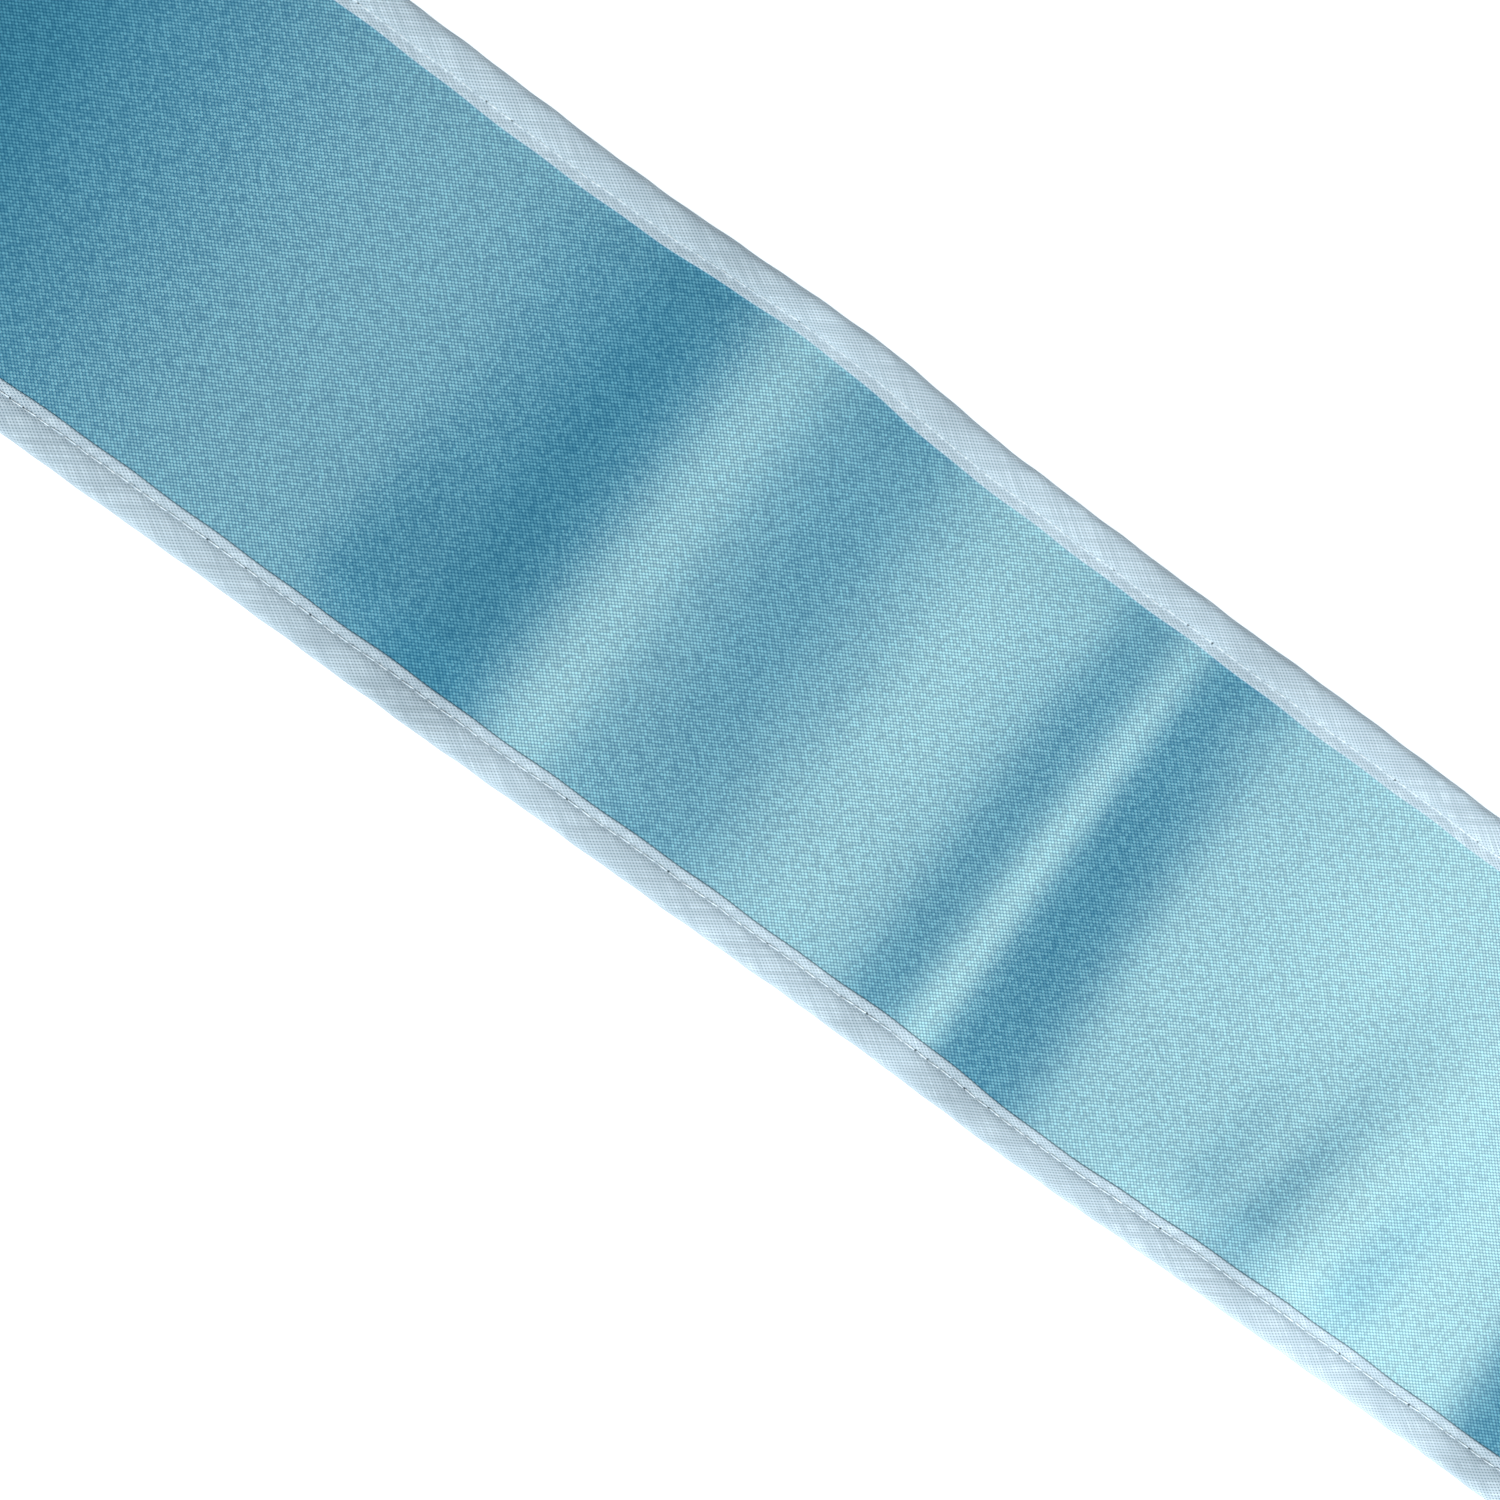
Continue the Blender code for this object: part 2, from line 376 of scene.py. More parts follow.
def spun_thread():
    material, tree = new_material("polyester sewing thread, spun")
    place = add(tree, "ShaderNodeTexCoord").outputs["Object"]
    fibre = add(tree, "ShaderNodeTexNoise", {"Vector": place, "Scale": 1 / FIBRES, "Detail": 1.0}).outputs[0]
    colour = add(tree, "ShaderNodeValToRGB", {0: fibre}).outputs[0]
    ramp = colour.node.color_ramp
    ramp.elements[0].position, ramp.elements[1].position = 0.35, 0.65
    ramp.elements[0].color = linear(THREAD_DARK)
    ramp.elements[1].color = linear(THREAD_LIGHT)
    bump = add(tree, "ShaderNodeBump", {"Height": fibre, "Strength": 0.4, "Distance": 0.03 * MM})
    finish = {"Base Color": colour, "Roughness": 0.5, "IOR": 1.58, "Normal": bump.outputs[0]}
    shader = add(tree, "ShaderNodeBsdfPrincipled", finish)
    add(tree, "ShaderNodeOutputMaterial", {0: shader.outputs[0]})
    return material


thread = spun_thread()
print("material:", thread.name)

# %% [markdown]
# Every cloth piece here is a band: the same section, a closed ring of points, followed along the sash.
# One function joins a row of such rings into a closed mesh and gives it a UV map in metres, so that a
# weave has its real size wherever the cloth goes. Faces have to point outwards. The rings may run either
# way round, so the space that the faces enclose is worked out, and where it is negative they are turned.


# %% Make a cloth piece from rings
def grid_faces(grid):
    """The corners of each face of a grid of point numbers, and the two caps that close its ends."""
    quads = np.stack([grid[:-1, :-1], grid[:-1, 1:], grid[1:, 1:], grid[1:, :-1]], axis=-1)
    return quads.reshape(-1, 4), [grid[0, :-1][::-1], grid[-1, :-1]]


def enclosed(points, quads):
    """About six times the space inside a ring of faces, and below 0 where they point inwards."""
    a, b, c, d = (points[quads[:, corner]] for corner in range(4))
    return np.einsum("ij,ij->", a, np.cross(b - a, c - a)) + np.einsum("ij,ij->", a, np.cross(c - a, d - a))


def cloth_piece(name, rings, uv, material):
    """rings is an array (ring, point, xyz), and uv (ring, point + 1, uv): its last column closes the ring."""
    count, size = rings.shape[:2]
    index = np.arange(count * size).reshape(count, size)
    quads, caps = grid_faces(np.concatenate([index, index[:, :1]], axis=1))
    uv_quads, uv_caps = grid_faces(np.arange(count * (size + 1)).reshape(count, size + 1))
    if enclosed((rings - rings.mean(axis=(0, 1))).reshape(-1, 3), quads) < 0:
        quads, uv_quads = quads[:, ::-1], uv_quads[:, ::-1]
        caps, uv_caps = [cap[::-1] for cap in caps], [cap[::-1] for cap in uv_caps]
    mesh = bpy.data.meshes.new(name)
    mesh.from_pydata(rings.reshape(-1, 3).tolist(), [], quads.tolist() + [cap.tolist() for cap in caps])
    corners = np.concatenate([uv_quads.reshape(-1)] + uv_caps)
    layer = mesh.uv_layers.new(name="cloth")
    layer.data.foreach_set("uv", uv.reshape(-1, 2)[corners].astype(np.float32).ravel())
    mesh.materials.append(material)
    mesh.shade_smooth()
    mesh.set_sharp_from_angle(angle=math.radians(50))
    print(f"{name}: {len(quads) * 2 + 2 * (size - 2)} triangles")
    return put_in_scene(name, mesh)


# %% [markdown]
# Between its folds the satin has faint creases, too low and too local for the solid model. Most are a few
# tenths of a millimetre high, and those with a negative height are troughs. Low as they are, satin
# shows them, because it shows a slope of one in a hundred. Each reaches over a share of the width, and
# all of them fade out beside the tape, which holds the cloth.

# %% Faint creases
CLEAR = 8 * MM  # this far in from the tape, the creases have their whole height
Crease = namedtuple("Crease", "place height before after lean from_edge to_edge")
CREASES = [  # in millimetres, and the last two as shares of the width, up from the lower edge
    Crease(place=136, height=1.2, before=46, after=20, lean=12, from_edge=-0.7, to_edge=0.8),
    Crease(place=115.5, height=0.22, before=8, after=10, lean=11, from_edge=-0.3, to_edge=0.7),
    Crease(place=130, height=0.17, before=6, after=12, lean=24, from_edge=-0.4, to_edge=0.6),
    Crease(place=-57, height=0.75, before=19, after=60, lean=6, from_edge=-0.5, to_edge=0.65),
    Crease(place=-62, height=0.50, before=22, after=78, lean=0, from_edge=0.55, to_edge=1.7),
    Crease(place=-10, height=0.35, before=16, after=14, lean=0, from_edge=-0.5, to_edge=0.4),
    Crease(place=-12, height=0.25, before=40, after=15, lean=-4, from_edge=0.55, to_edge=1.5),
    Crease(place=16, height=0.18, before=14, after=24, lean=3, from_edge=0.1, to_edge=0.95),
    Crease(place=18, height=0.40, before=30, after=20, lean=0, from_edge=-0.6, to_edge=0.4),
    Crease(place=33, height=0.50, before=40, after=14, lean=-3, from_edge=0.6, to_edge=1.5),
    Crease(place=52, height=0.12, before=9, after=8, lean=0, from_edge=-0.3, to_edge=1.5),
    Crease(place=64, height=0.28, before=16, after=11, lean=0, from_edge=0.6, to_edge=1.4),
    Crease(place=72, height=0.20, before=14, after=22, lean=-5, from_edge=0.0, to_edge=0.85),
    Crease(place=79, height=-0.55, before=32, after=60, lean=-5, from_edge=0.6, to_edge=1.5),
    Crease(place=-505, height=0.16, before=7, after=12, lean=-9, from_edge=0.3, to_edge=1.4),
    Crease(place=-389, height=0.12, before=9, after=7, lean=12, from_edge=-0.3, to_edge=0.8),
    Crease(place=238, height=0.15, before=6, after=13, lean=-14, from_edge=0.4, to_edge=1.3),
    Crease(place=371, height=0.18, before=8, after=12, lean=10, from_edge=-0.4, to_edge=0.6),
    Crease(place=602, height=0.13, before=10, after=7, lean=-8, from_edge=0.2, to_edge=1.3),
]


def faint_creases(x, y):
    """The height of the creases at each point."""
    share = 0.5 + y / WIDTH
    height = np.zeros_like(x)
    for crease in CREASES:
        middle, half = (crease.from_edge + crease.to_edge) / 2, (crease.to_edge - crease.from_edge) / 2
        past = x - (crease.place + crease.lean * (share - 0.5)) * MM
        across = bell(share - middle, half, half)
        height += crease.height * MM * bell(past, crease.before * MM, crease.after * MM) * across
    clear = np.clip((WIDTH / 2 - np.abs(y) - BINDING) / CLEAR, 0, 1)
    return height * clear**2 * (3 - 2 * clear)


print("creases:", len(CREASES))

# %% [markdown]
# The satin is one thin strip. It rests on the surface in the middle and rises at its sides, where the
# tape folded under it holds it up. The solid's wall is thicker than satin, so the thin strip lies in the
# middle of it. The mesh is a grid of points on its lower face, and the same points again, moved up by
# the cloth's thickness.

# %% The satin strip
SATIN = 0.35 * MM  # thick
STRIP_WALL = 1.0 * MM  # of the strip's solid
STRIP_LOW = 1.3 * MM  # the solid's edge lies this high, on the tape
STRIP_EDGE = 1.7 * MM  # the cut edge lies this far inside the fold of the tape
HELD = 0.5 * MM  # past the tape, the strip is still at its full height
SETTLE = 34 * MM  # and from there it comes down over this distance
STRIP_ALONG, STRIP_ACROSS = 701, 49  # points of the grid


def strip_lift(x, y):
    """How high the satin's underside lies where there is no fold."""
    inward = np.minimum(WIDTH / 2 - np.abs(y), LENGTH / 2 - np.abs(x)) - (BINDING + HELD)
    share = np.clip(inward / SETTLE, 0, 1)
    spare = (STRIP_WALL - SATIN) / 2
    return spare + STRIP_LOW * 0.5 * (1 + np.cos(np.pi * share))


def make_strip():
    long_half, wide_half = LENGTH / 2 - STRIP_EDGE, WIDTH / 2 - STRIP_EDGE
    along = np.linspace(-long_half, long_half, STRIP_ALONG)
    across = np.linspace(-wide_half, wide_half, STRIP_ACROSS)
    x, y = np.meshgrid(along, across, indexing="ij")
    low = strip_lift(x, y) + faint_creases(x, y)
    rings = np.concatenate([lay(x, y, low), lay(x, y, low + SATIN)[:, ::-1]], axis=1)
    flat = np.stack([x, y], axis=-1)
    uv = np.concatenate([flat, flat[:, ::-1], flat[:, :1]], axis=1)
    return cloth_piece("satin_strip", rings, uv, satin)


strip = make_strip()

# %% [markdown]
# The tape wraps the cut edge. Seen in section it is a round, full roll at the fold, a valley where the
# stitches draw it down, and a lip beyond them. The section is a short row of points, each a distance
# inward from the sash's edge and a height, with a smooth curve through them. The satin lies in the slot
# between the face and the back.

# %% The folded tape in section
Bend = namedtuple("Bend", "inward height")
FACE = [  # in millimetres, from the outermost point over the roll, down at the stitches and over the lip
    Bend(0.0, 1.50),
    Bend(0.2, 2.20),
    Bend(0.75, 2.80),
    Bend(1.6, 3.02),
    Bend(2.6, 3.02),
    Bend(3.7, 2.95),
    Bend(4.7, 2.77),
    Bend(5.25, 2.50),
    Bend(5.55, 2.34),
    Bend(5.9, 2.27),
    Bend(6.4, 2.31),
    Bend(7.1, 2.33),
    Bend(7.33, 2.25),
    Bend(7.4, 2.12),
]
BACK = [  # from the lip to the outermost point, on the side that the sash lies on
    Bend(7.4, 0.35),
    Bend(7.2, 0.06),
    Bend(6.2, 0.0),
    Bend(5.55, 0.22),
    Bend(4.9, 0.0),
    Bend(1.9, 0.0),
    Bend(0.9, 0.24),
    Bend(0.22, 0.9),
]
SLOT = [Bend(7.4, 2.01), Bend(1.5, 2.02), Bend(1.5, 1.6), Bend(7.4, 1.6)]  # round the satin's edge
SMOOTH_STEPS = 2  # points of the curve for each bend


def smooth_through(points, steps):
    """More points, on a smooth curve through the given ones."""
    points = np.array(points)
    ends = np.concatenate([2 * points[:1] - points[1:2], points, 2 * points[-1:] - points[-2:-1]])
    made = []
    for a, b, c, d in zip(ends, ends[1:], ends[2:], ends[3:]):
        for t in np.arange(steps) / steps:
            curve = 2 * b + (c - a) * t + (2 * a - 5 * b + 4 * c - d) * t**2
            made.append(0.5 * (curve + (3 * b - a - 3 * c + d) * t**3))
    return np.array(made + [points[-1]])


def tape_section():
    """The closed ring of the section, and how far round it each point lies."""
    ring = np.concatenate([smooth_through(BACK + FACE, SMOOTH_STEPS), np.array(SLOT)]) * MM
    steps = np.linalg.norm(np.diff(np.concatenate([ring, ring[:1]]), axis=0), axis=1)
    return ring, np.concatenate([[0.0], np.cumsum(steps)])


section, section_way = tape_section()
print("points in the tape's section:", len(section))

# %% [markdown]
# Real tape is never even. Its edge and its lip wander, and in places the tape lies further out or is
# drawn narrow, as a table of drifts says. The wandering is a slow wave: a few sines of unrelated
# lengths, added up, so that it never visibly repeats.

# %% How the tape wanders
EDGE_WANDER, EDGE_WAVES = 0.09 * MM, (61, 17, 9.1)  # how far, and the lengths of the waves in millimetres
LIP_WANDER, LIP_WAVES = 0.17 * MM, (81, 43, 17)
WAVE_GAIN = 1.4  # the sines seldom peak together, so their mean is raised to near 1
Drift = namedtuple("Drift", "side place edge lip reach")
DRIFTS = [  # in millimetres, outwards, at the edge and at the lip, on the upper side 1 or the lower -1
    Drift(side=1, place=-13, edge=0.6, lip=0.2, reach=32),
    Drift(side=1, place=-30, edge=0.0, lip=0.7, reach=45),
    Drift(side=-1, place=-46, edge=0.25, lip=0.55, reach=62),
    Drift(side=-1, place=-52, edge=0.0, lip=-0.5, reach=24),
    Drift(side=-1, place=84, edge=0.45, lip=1.1, reach=44),
    Drift(side=1, place=-371, edge=0.3, lip=0.8, reach=48),
    Drift(side=1, place=264, edge=0.2, lip=0.6, reach=52),
    Drift(side=-1, place=-560, edge=0.3, lip=0.7, reach=46),
    Drift(side=-1, place=431, edge=0.1, lip=0.6, reach=57),
]


def slow_wave(place, lengths, phase):
    """A smooth, uneven wave between about -1 and 1."""
    waves = []
    for number, length in enumerate(lengths, start=1):
        waves.append(np.sin(2 * np.pi * place / (length * MM) + phase * number))
    return np.mean(waves, axis=0) * WAVE_GAIN


def wander(side, x, share, phase):
    """How far a point of the section, at its share of the tape's width, lies inward of its even place."""
    inward = share**2 * slow_wave(x, LIP_WAVES, phase + 1) * LIP_WANDER
    inward += (1 - share) ** 2 * slow_wave(x, EDGE_WAVES, phase + 2) * EDGE_WANDER
    for drift in DRIFTS:
        if drift.side == side:
            out = drift.edge * (1 - share) + drift.lip * share
            inward -= out * MM * bell(x - drift.place * MM, drift.reach * MM, drift.reach * MM)
    return inward


print("drifts:", len(DRIFTS))

# %% [markdown]
# The height varies too. The roll swells and thins, and low slanted ripples cross it, where the foot of
# the machine dragged the upper layer along. Each stitch pulls its own small dimple in the valley, and a
# fainter one in the lip. All of this is on the face alone, since the back is pressed flat by its weight.

# %% How the tape's height varies
PITCH = 2.6 * MM  # from stitch to stitch, about ten to the inch
LIP = 1.85 * MM  # from the tape's sewn-down edge to the stitches
SEWN = BINDING - LIP  # from the sash's edge to the stitches
FACE_FROM, FACE_BLEND = 2.05 * MM, 0.15 * MM  # points of the section above this height are on the face
ROLL, ROLL_REACH = 2.2 * MM, 1.7 * MM
SWELL, SWELL_WAVES = 0.12 * MM, (37, 19, 11)  # the waves' lengths are in millimetres
RIPPLE, RIPPLE_LENGTH, RIPPLE_SLANT, RIPPLE_WAVES = 0.035 * MM, 6.1 * MM, 0.9, (53, 29)
DIMPLE, DIMPLE_REACH = 0.07 * MM, 0.55 * MM
LIP_DIMPLE, LIP_DIMPLE_REACH = 0.03 * MM, 0.5 * MM


def hump(inward, middle, reach):
    """1 at a distance inward from the edge, fading on both sides of it."""
    return np.exp(-(((inward - middle) / reach) ** 2))


def uneven_section(side, x, phase):
    """The section at each place along an edge: arrays of inward distance and height."""
    inward = np.broadcast_to(section[:, 0], (len(x), len(section)))
    height = np.broadcast_to(section[:, 1], inward.shape).copy()
    along = x[:, None]
    above = np.clip((height - FACE_FROM) / FACE_BLEND, 0, 1)
    roll = above * hump(inward, ROLL, ROLL_REACH)
    height += roll * slow_wave(along, SWELL_WAVES, phase) * SWELL
    slanted = 2 * np.pi * (along - RIPPLE_SLANT * inward) / RIPPLE_LENGTH
    height += roll * np.sin(slanted + slow_wave(along, RIPPLE_WAVES, phase) * 2) * RIPPLE
    pull = above * np.cos(2 * np.pi * along / PITCH)  # up at the middle of a stitch, down at a needle hole
    height += pull * hump(inward, SEWN, DIMPLE_REACH) * DIMPLE
    height += pull * hump(inward, BINDING - LIP / 2, LIP_DIMPLE_REACH) * LIP_DIMPLE
    return inward + wander(side, along, inward / BINDING, phase), height


print(f"stitches lie {SEWN / MM:.2f} mm in from the edge")

# %% [markdown]
# The long edges follow the folds of the satin. At each corner the tape is folded to a mitre, so a long
# tape and an end tape meet on the diagonal. The four edges are one table, and one function makes the
# tape of each: only its reach, its place and its unevenness differ.

# %% The four tapes
MITRE = 0.15 * MM / math.sqrt(2)  # each tape stops this far short of the diagonal


def on_side(side):
    """Turns places along a long edge, and distances inward from it, into x and y."""
    return lambda along, inward: (along, side * (WIDTH / 2 - inward))


def on_end(end):
    """The same for an end of the sash."""
    return lambda along, inward: (end * (LENGTH / 2 - inward), along)


Edge = namedtuple("Edge", "name place half sections side phase seed")
EDGES = [  # no two phases or seeds are alike, and side 0 has no drifts
    Edge("upper_edge", on_side(1), LENGTH / 2, sections=2001, side=1, phase=0.3, seed=1),
    Edge("lower_edge", on_side(-1), LENGTH / 2, sections=2001, side=-1, phase=2.1, seed=3),
    Edge("left_end", on_end(-1), WIDTH / 2, sections=147, side=0, phase=4.0, seed=11),
    Edge("right_end", on_end(1), WIDTH / 2, sections=147, side=0, phase=5.2, seed=13),
]


def folded_tape(edge):
    along = np.linspace(-edge.half, edge.half, edge.sections)
    inward, height = uneven_section(edge.side, along, edge.phase)
    cut = edge.half - section[:, 0] - MITRE
    mitred = np.clip(np.broadcast_to(along[:, None], inward.shape), -cut, cut)
    x, y = edge.place(mitred, inward)
    uv = np.stack(np.broadcast_arrays(along[:, None], section_way[None]), axis=-1)
    return cloth_piece(f"{edge.name}_tape", lay(x, y, height), uv, tape)


tapes = [folded_tape(edge) for edge in EDGES]

# %% [markdown]
# Here and there a needle hole shows beside the thread. It is too small to cut, so a dark plug, level with
# the cloth, stands for its shadow. Its colour is that of the tape where hardly any light gets in.

# %% A needle hole's shadow
HOLE_DARK, HOLE_LIGHT = "1c2c38", "3a4f5e"
FLUFF = 0.15 * MM  # from one tuft of fibres in it to the next


def dark_plug():
    material, tree = new_material("needle hole, in shadow")
    place = add(tree, "ShaderNodeTexCoord").outputs["Object"]
    fluff = add(tree, "ShaderNodeTexNoise", {"Vector": place, "Scale": 1 / FLUFF}).outputs[0]
    colour = add(tree, "ShaderNodeValToRGB", {0: fluff}).outputs[0]
    colour.node.color_ramp.elements[0].color = linear(HOLE_DARK)
    colour.node.color_ramp.elements[1].color = linear(HOLE_LIGHT)
    shader = add(tree, "ShaderNodeBsdfPrincipled", {"Base Color": colour, "Roughness": 0.95})
    add(tree, "ShaderNodeOutputMaterial", {0: shader.outputs[0]})
    return material


hole = dark_plug()
print("material:", hole.name)

# %% [markdown]
# A machine stitch is a short piece of thread that comes out of one needle hole and goes down the next,
# with a knot inside the cloth. Geometry Nodes can place a whole row of them. First come the steps for one
# stitch: a bent, round bit of thread, and the rotation that lays it along the line. The bit has few
# faces, since the sash has more than two thousand stitches.

# %% One stitch
STITCH_INPUTS = {
    "Stitch Length": 2.1 * MM,
    "Thread Radius": 0.13 * MM,
    "Sink": 0.14 * MM,
    "Turn": math.radians(4),
    "To Hole": PITCH / 2,
    "Hole Radius": 0.17 * MM,
    "Hole Depth": 0.4 * MM,
    "Share of Holes": 0.14,
}
BEND_PARTS = 5
THREAD_SIDES = 6


def thread_bit(tree, given):
    """One stitch, lying along X and bent down at its ends."""
    half = add(tree, "ShaderNodeMath", {0: given["Stitch Length"], 1: 0.5}, operation="MULTIPLY").outputs[0]
    back = add(tree, "ShaderNodeMath", {0: half, 1: -1.0}, operation="MULTIPLY").outputs[0]
    down = add(tree, "ShaderNodeMath", {0: given["Sink"], 1: -1.0}, operation="MULTIPLY").outputs[0]
    way = {
        "Resolution": BEND_PARTS,
        "Start": add(tree, "ShaderNodeCombineXYZ", {0: back, 2: down}).outputs[0],
        "Middle": add(tree, "ShaderNodeCombineXYZ", {2: given["Sink"]}).outputs[0],
        "End": add(tree, "ShaderNodeCombineXYZ", {0: half, 2: down}).outputs[0],
    }
    bend = add(tree, "GeometryNodeCurveQuadraticBezier", way).outputs[0]
    round_profile = {"Resolution": THREAD_SIDES, "Radius": given["Thread Radius"]}
    circle = add(tree, "GeometryNodeCurvePrimitiveCircle", round_profile).outputs[0]
    tube = {"Curve": bend, "Profile Curve": circle, "Fill Caps": True}
    return add(tree, "GeometryNodeCurveToMesh", tube).outputs[0]


def along_line(tree, given):
    """The rotation that lays X along the line of stitches, with Z up from the cloth."""
    tangent = add(tree, "GeometryNodeInputTangent").outputs[0]
    along = add(tree, "FunctionNodeAlignRotationToVector", {"Vector": tangent}, axis="X").outputs[0]
    upwards = {"Rotation": along, "Vector": given["Up"]}
    return add(tree, "FunctionNodeAlignRotationToVector", upwards, axis="Z", pivot_axis="X").outputs[0]


print("a stitch has", BEND_PARTS * THREAD_SIDES * 2 + 2 * (THREAD_SIDES - 2), "triangles")

# %% [markdown]
# The tree puts one stitch on each point of a line, turned a little to one side or the other, because
# thread is never quite straight. Beside a share of the points it puts the dark plug of a needle hole.
# What is random has a fixed seed. The tree ends by realizing its instances, so what is left is a plain
# mesh.

# %% A node tree for a row of stitches
PLUG_SIDES = 8
PLUG_SINK = 0.7  # of its depth, so that the plug's top is just below the middle of the thread
TREE_SOCKETS = [(name, "Float") for name in STITCH_INPUTS] + [
    ("Up", "Vector"),
    ("Seed", "Int"),
    ("Thread", "Material"),
    ("Hole", "Material"),
]


def thread_row(tree, given, upright):
    """A stitch on each point."""
    least = add(tree, "ShaderNodeMath", {0: given["Turn"], 1: -1.0}, operation="MULTIPLY").outputs[0]
    between = {2: least, 3: given["Turn"], "Seed": given["Seed"]}
    chance = add(tree, "FunctionNodeRandomValue", between, data_type="FLOAT").outputs[1]
    yaw = add(tree, "ShaderNodeCombineXYZ", {2: chance}).outputs[0]
    turn = add(tree, "FunctionNodeEulerToRotation", {0: yaw}).outputs[0]
    turned = add(tree, "FunctionNodeRotateRotation", {0: upright, 1: turn}, rotation_space="LOCAL").outputs[0]
    stitch = {"Points": given["Geometry"], "Instance": thread_bit(tree, given), "Rotation": turned}
    row = add(tree, "GeometryNodeInstanceOnPoints", stitch).outputs[0]
    return add(tree, "GeometryNodeSetMaterial", {"Geometry": row, "Material": given["Thread"]}).outputs[0]


def needle_holes(tree, given, upright):
    """A plug beside some of the points, where one stitch ends and the next begins."""
    odds = {"Probability": given["Share of Holes"], "Seed": given["Seed"]}
    shown = add(tree, "FunctionNodeRandomValue", odds, data_type="BOOLEAN").outputs[3]
    size = {"Vertices": PLUG_SIDES, "Radius": given["Hole Radius"], "Depth": given["Hole Depth"]}
    plug = add(tree, "GeometryNodeMeshCylinder", size).outputs[0]
    spots = {"Points": given["Geometry"], "Selection": shown, "Instance": plug, "Rotation": upright}
    plugs = add(tree, "GeometryNodeInstanceOnPoints", spots).outputs[0]
    deep = add(tree, "ShaderNodeMath", {0: given["Hole Depth"], 1: -PLUG_SINK}, operation="MULTIPLY")
    beside = add(tree, "ShaderNodeCombineXYZ", {0: given["To Hole"], 2: deep.outputs[0]}).outputs[0]
    move = {"Instances": plugs, "Translation": beside}
    placed = add(tree, "GeometryNodeTranslateInstances", move).outputs[0]
    return add(tree, "GeometryNodeSetMaterial", {"Geometry": placed, "Material": given["Hole"]}).outputs[0]


def stitch_tree():
    tree = bpy.data.node_groups.new("row of stitches", "GeometryNodeTree")
    tree.interface.new_socket("Geometry", in_out="INPUT", socket_type="NodeSocketGeometry")
    for name, kind in TREE_SOCKETS:
        tree.interface.new_socket(name, in_out="INPUT", socket_type=f"NodeSocket{kind}")
    tree.interface.new_socket("Geometry", in_out="OUTPUT", socket_type="NodeSocketGeometry")
    given = add(tree, "NodeGroupInput").outputs
    upright = along_line(tree, given)
    joined = add(tree, "GeometryNodeJoinGeometry", {0: thread_row(tree, given, upright)})
    tree.links.new(needle_holes(tree, given, upright), joined.inputs[0])
    real = add(tree, "GeometryNodeRealizeInstances", {0: joined.outputs[0]}).outputs[0]
    smooth = add(tree, "GeometryNodeSetShadeSmooth", {0: real}).outputs[0]
    add(tree, "NodeGroupOutput", {0: smooth})
    return tree


stitches = stitch_tree()
print("nodes in the stitch tree:", len(stitches.nodes))

# %% [markdown]
# Each edge has two rows, one on its face and one on its back. The carrier is a line of points in the
# valley, one for each stitch, at the height of the tape there. A hand-guided row isn't quite even, so
# each point is a little off its place. The modifier's inputs are set by their identifiers, the evaluated
# result is turned into a mesh, and the carrier is removed.

# %% Sew the tapes down
Row = namedtuple("Row", "up height")  # which way is up from the cloth, and the height of the stitches
ROWS = [Row(up=(0, 0, 1), height=2.42 * MM), Row(up=(0, 0, -1), height=0.14 * MM)]
OFF_PLACE = 0.07 * MM  # the furthest that a stitch lies beside its row


def sewn_row(points, up, seed):
    """The mesh of one row, with a stitch on each point."""
    curve = bpy.data.curves.new("stitch line", "CURVE")
    curve.dimensions = "3D"
    spline = curve.splines.new("POLY")
    spline.points.add(len(points) - 1)
    spline.points.foreach_set("co", np.concatenate([points, np.ones((len(points), 1))], axis=1).ravel())
    carrier = put_in_scene("stitch line", curve)
    modifier = carrier.modifiers.new("stitches", "NODES")
    modifier.node_group = stitches
    values = dict(STITCH_INPUTS, Up=up, Seed=seed, Thread=thread, Hole=hole)
    for socket in stitches.interface.items_tree:
        if socket.in_out == "INPUT" and socket.name in values:
            modifier[socket.identifier] = values[socket.name]
    evaluated = carrier.evaluated_get(bpy.context.evaluated_depsgraph_get())
    mesh = bpy.data.meshes.new_from_object(evaluated)
    bpy.data.objects.remove(carrier, do_unlink=True)
    return mesh


def stitched_edge(edge):
    """One piece with both rows of an edge."""
    count = math.floor((edge.half - SEWN) / PITCH)
    along = np.arange(-count, count + 1) * PITCH
    joined = bmesh.new()
    for seed, row in enumerate(ROWS, start=edge.seed):
        off = np.random.default_rng(seed).uniform(-OFF_PLACE, OFF_PLACE, len(along))
        x, y = edge.place(along, SEWN + wander(edge.side, along, SEWN / BINDING, edge.phase) + off)
        sewn = sewn_row(lay(x, y, np.full_like(along, row.height)), row.up, seed)
        joined.from_mesh(sewn)
        finishes = list(sewn.materials)
        bpy.data.meshes.remove(sewn)
    mesh = bpy.data.meshes.new(f"{edge.name}_stitches")
    joined.to_mesh(mesh)
    joined.free()
    for finish in finishes:
        mesh.materials.append(finish)
    print(f"{mesh.name}: {sum(len(p.vertices) - 2 for p in mesh.polygons)} triangles")
    return put_in_scene(mesh.name, mesh)


sewings = [stitched_edge(edge) for edge in EDGES]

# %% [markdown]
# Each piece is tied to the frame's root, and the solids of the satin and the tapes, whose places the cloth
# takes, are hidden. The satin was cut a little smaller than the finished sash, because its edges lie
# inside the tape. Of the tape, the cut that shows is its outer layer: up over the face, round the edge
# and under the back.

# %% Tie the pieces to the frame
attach(strip, "root")
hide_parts("satin_panel")
for edge, piece, sewing in zip(EDGES, tapes, sewings):
    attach(piece, "root")
    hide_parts(f"{edge.name}_binding")
    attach(sewing, "root")

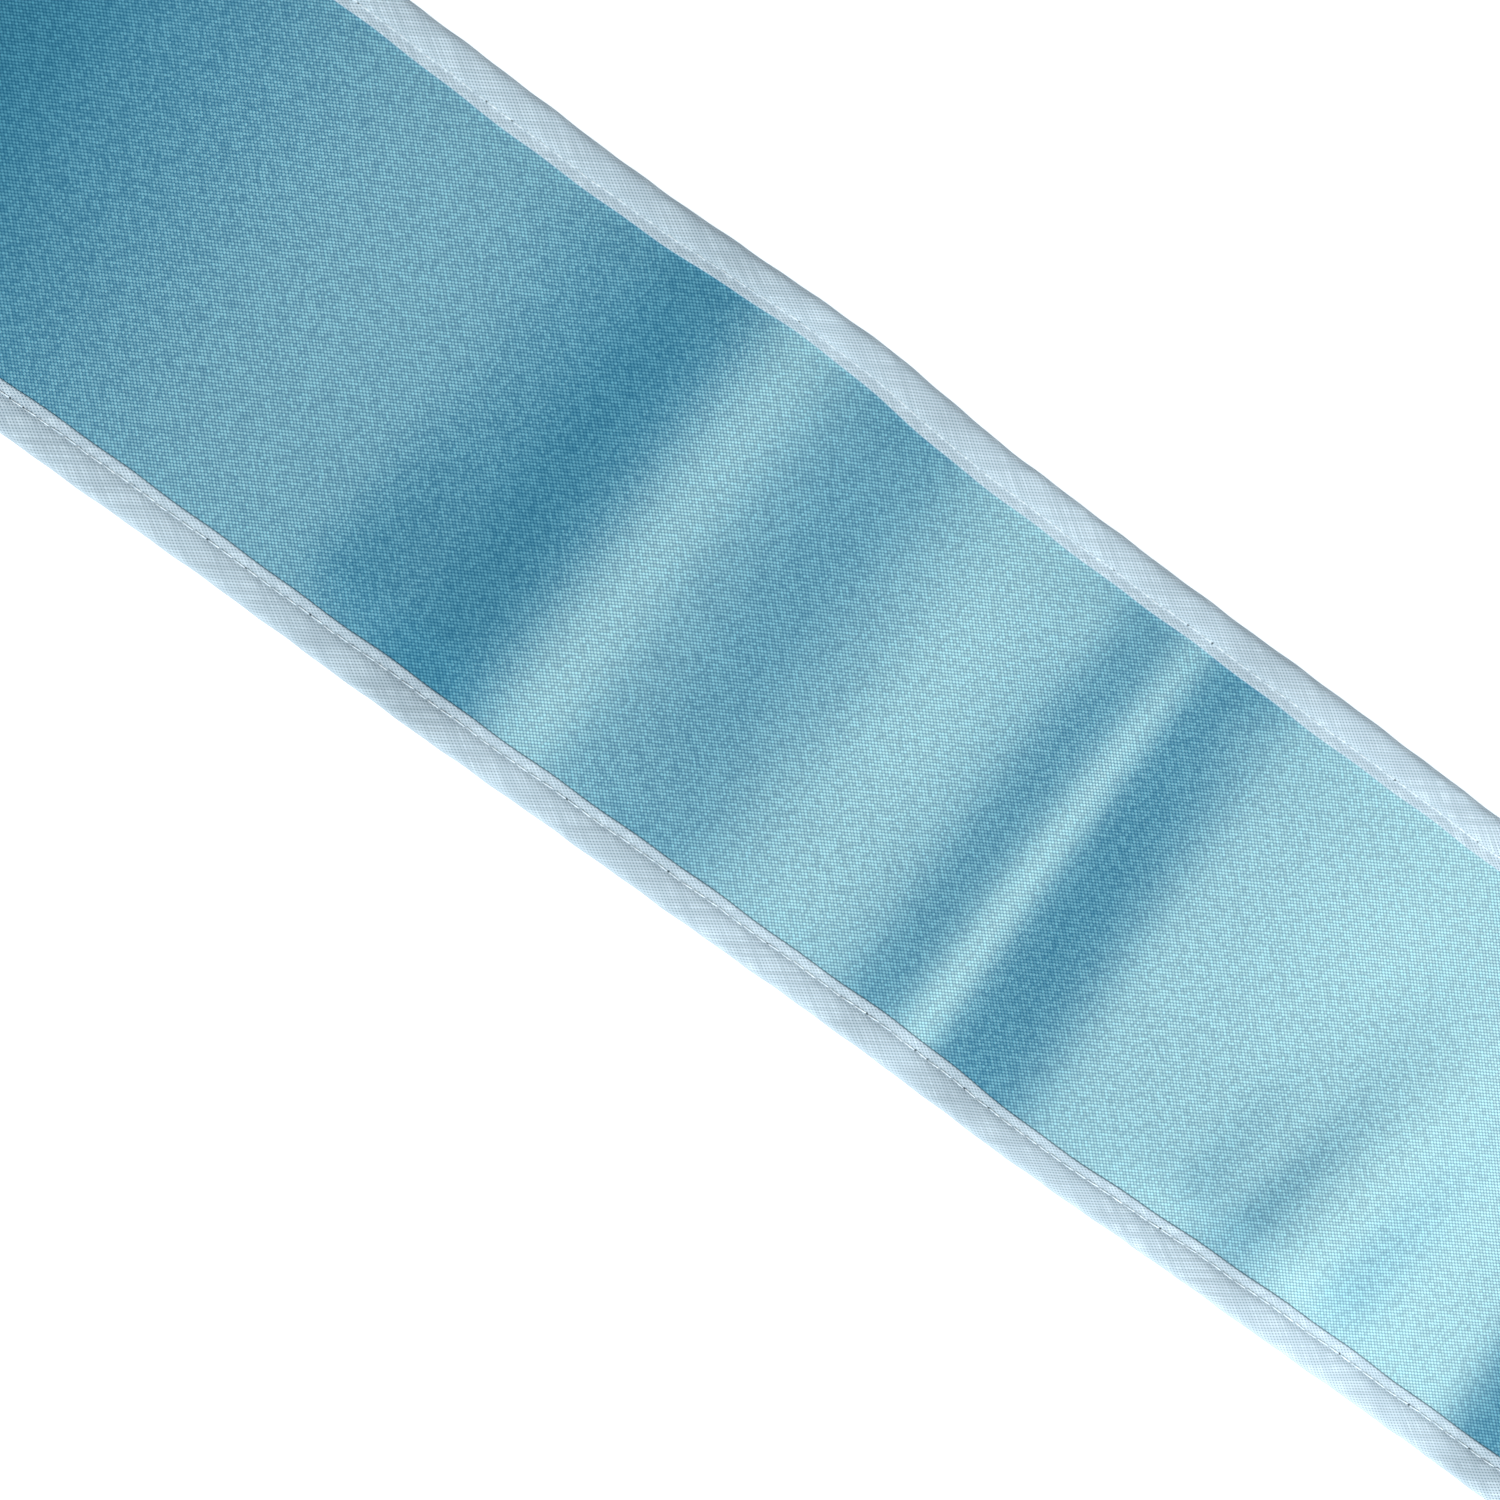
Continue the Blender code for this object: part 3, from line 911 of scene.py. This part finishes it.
# %% [markdown]
# The sash lies on a matt white board. The board is painted, so it has no gloss, only faint patches that
# are hardly darker than the rest. It also glows evenly, like a light table, so that it comes out as white
# as paper, with hardly a shadow on it.

# %% The board that it lies on
FLOOR_HALF = 3.0  # metres, from its middle to its sides
FLOOR_DROP = 0.05 * MM  # below the stitches of the back
FLOOR_GLOW = 0.8
FLOOR_PATCHES = 3.0  # to the metre


def white_board():
    material, tree = new_material("matt white board")
    place = add(tree, "ShaderNodeTexCoord").outputs["Object"]
    tone = add(tree, "ShaderNodeTexNoise", {"Vector": place, "Scale": FLOOR_PATCHES, "Detail": 2.0})
    colour = add(tree, "ShaderNodeValToRGB", {0: tone.outputs[0]}).outputs[0]
    colour.node.color_ramp.elements[0].color = linear("f6f7f8")
    colour.node.color_ramp.elements[1].color = linear("fbfcfc")
    glow = {"Emission Color": linear("ffffff"), "Emission Strength": FLOOR_GLOW}
    shader = add(tree, "ShaderNodeBsdfPrincipled", {"Base Color": colour, "Roughness": 0.9, **glow})
    add(tree, "ShaderNodeOutputMaterial", {0: shader.outputs[0]})
    return material


def lay_floor():
    mesh = bpy.data.meshes.new("floor")
    corners = [(x * FLOOR_HALF, y * FLOOR_HALF, 0) for x, y in ((-1, -1), (1, -1), (1, 1), (-1, 1))]
    mesh.from_pydata(corners, [], [(0, 1, 2, 3)])
    mesh.materials.append(white_board())
    floor = put_in_scene("floor", mesh)
    floor.location.z = -FLOOR_DROP
    return floor


floor = lay_floor()
print("floor:", [round(side, 2) for side in floor.dimensions[:2]], "m")

# %% [markdown]
# One large soft light stands beyond the picture's lower edge. A small, weak one, low at the lower right,
# brightens the slopes that face it, and a faint even light comes from all round. Satin needs that: its
# bands are the soft light seen in each slope.

# %% Lights
KEY_PLACE, KEY_SIZE, KEY_WATTS = Vector((0.80, -0.64, 1.23)), 0.7, 31.0
SIDE_PLACE, SIDE_SIZE, SIDE_WATTS = Vector((0.62, -0.12, 0.24)), 0.3, 1.6
LAMP_TINT = 1.0, 0.985, 0.96  # a little warm
EVEN_TINT, EVEN_STRENGTH = (0.9, 0.97, 1.0, 1.0), 0.13  # a little blue


def soft_light(name, place, size, watts):
    light = bpy.data.lights.new(name, "AREA")
    light.shape = "SQUARE"
    light.size = size
    light.energy = watts
    light.color = LAMP_TINT
    lamp = put_in_scene(name, light)
    lamp.location = place
    lamp.rotation_mode = "QUATERNION"
    lamp.rotation_quaternion = (-place).to_track_quat("-Z", "Y")


def even_light():
    world = bpy.data.worlds.new("even light")
    world.use_nodes = True
    background = world.node_tree.nodes["Background"]
    background.inputs["Color"].default_value = EVEN_TINT
    background.inputs["Strength"].default_value = EVEN_STRENGTH
    bpy.context.scene.world = world


soft_light("key light", KEY_PLACE, KEY_SIZE, KEY_WATTS)
soft_light("side light", SIDE_PLACE, SIDE_SIZE, SIDE_WATTS)
even_light()
bpy.context.scene.view_settings.view_transform = "Standard"
print(f"key light {KEY_PLACE.length:.2f} m away, side light {SIDE_PLACE.length:.2f} m away")

# %% [markdown]
# The camera looks nearly straight down from about 90 cm with a long lens, as for a real close-up of the
# cloth. It is turned so that the sash runs from the upper left to the lower right, and tilted a few
# degrees, so the left side is a little nearer. The focal length is given in pixels of a square picture
# 1500 wide, and turned into millimetres for a sensor 36 mm wide.

# %% Camera
PICTURE = 1500
FOCAL_PIXELS = 5443
SENSOR = 36.0
AIM = Vector((3.3 * MM, -17.8 * MM, 2.0 * MM))
DISTANCE = 900 * MM
TURN, TILT_ACROSS, TILT_ALONG = math.radians(35.6), math.radians(6.2), math.radians(8.5)


def photo_camera():
    data = bpy.data.cameras.new("camera")
    data.sensor_width = SENSOR
    data.lens = FOCAL_PIXELS / PICTURE * SENSOR
    data.clip_start, data.clip_end = 0.01, 20
    camera = put_in_scene("camera", data)
    tilt = Matrix.Rotation(TILT_ALONG, 3, "Y") @ Matrix.Rotation(TILT_ACROSS, 3, "X")
    pose = (tilt @ Matrix.Rotation(-TURN, 3, "Z")).transposed()
    place = AIM + pose @ Vector((0, 0, DISTANCE))
    camera.matrix_world = Matrix.Translation(place) @ pose.to_4x4()
    bpy.context.scene.camera = camera
    return camera


camera = photo_camera()
print("camera at", [round(v, 3) for v in camera.matrix_world.translation])
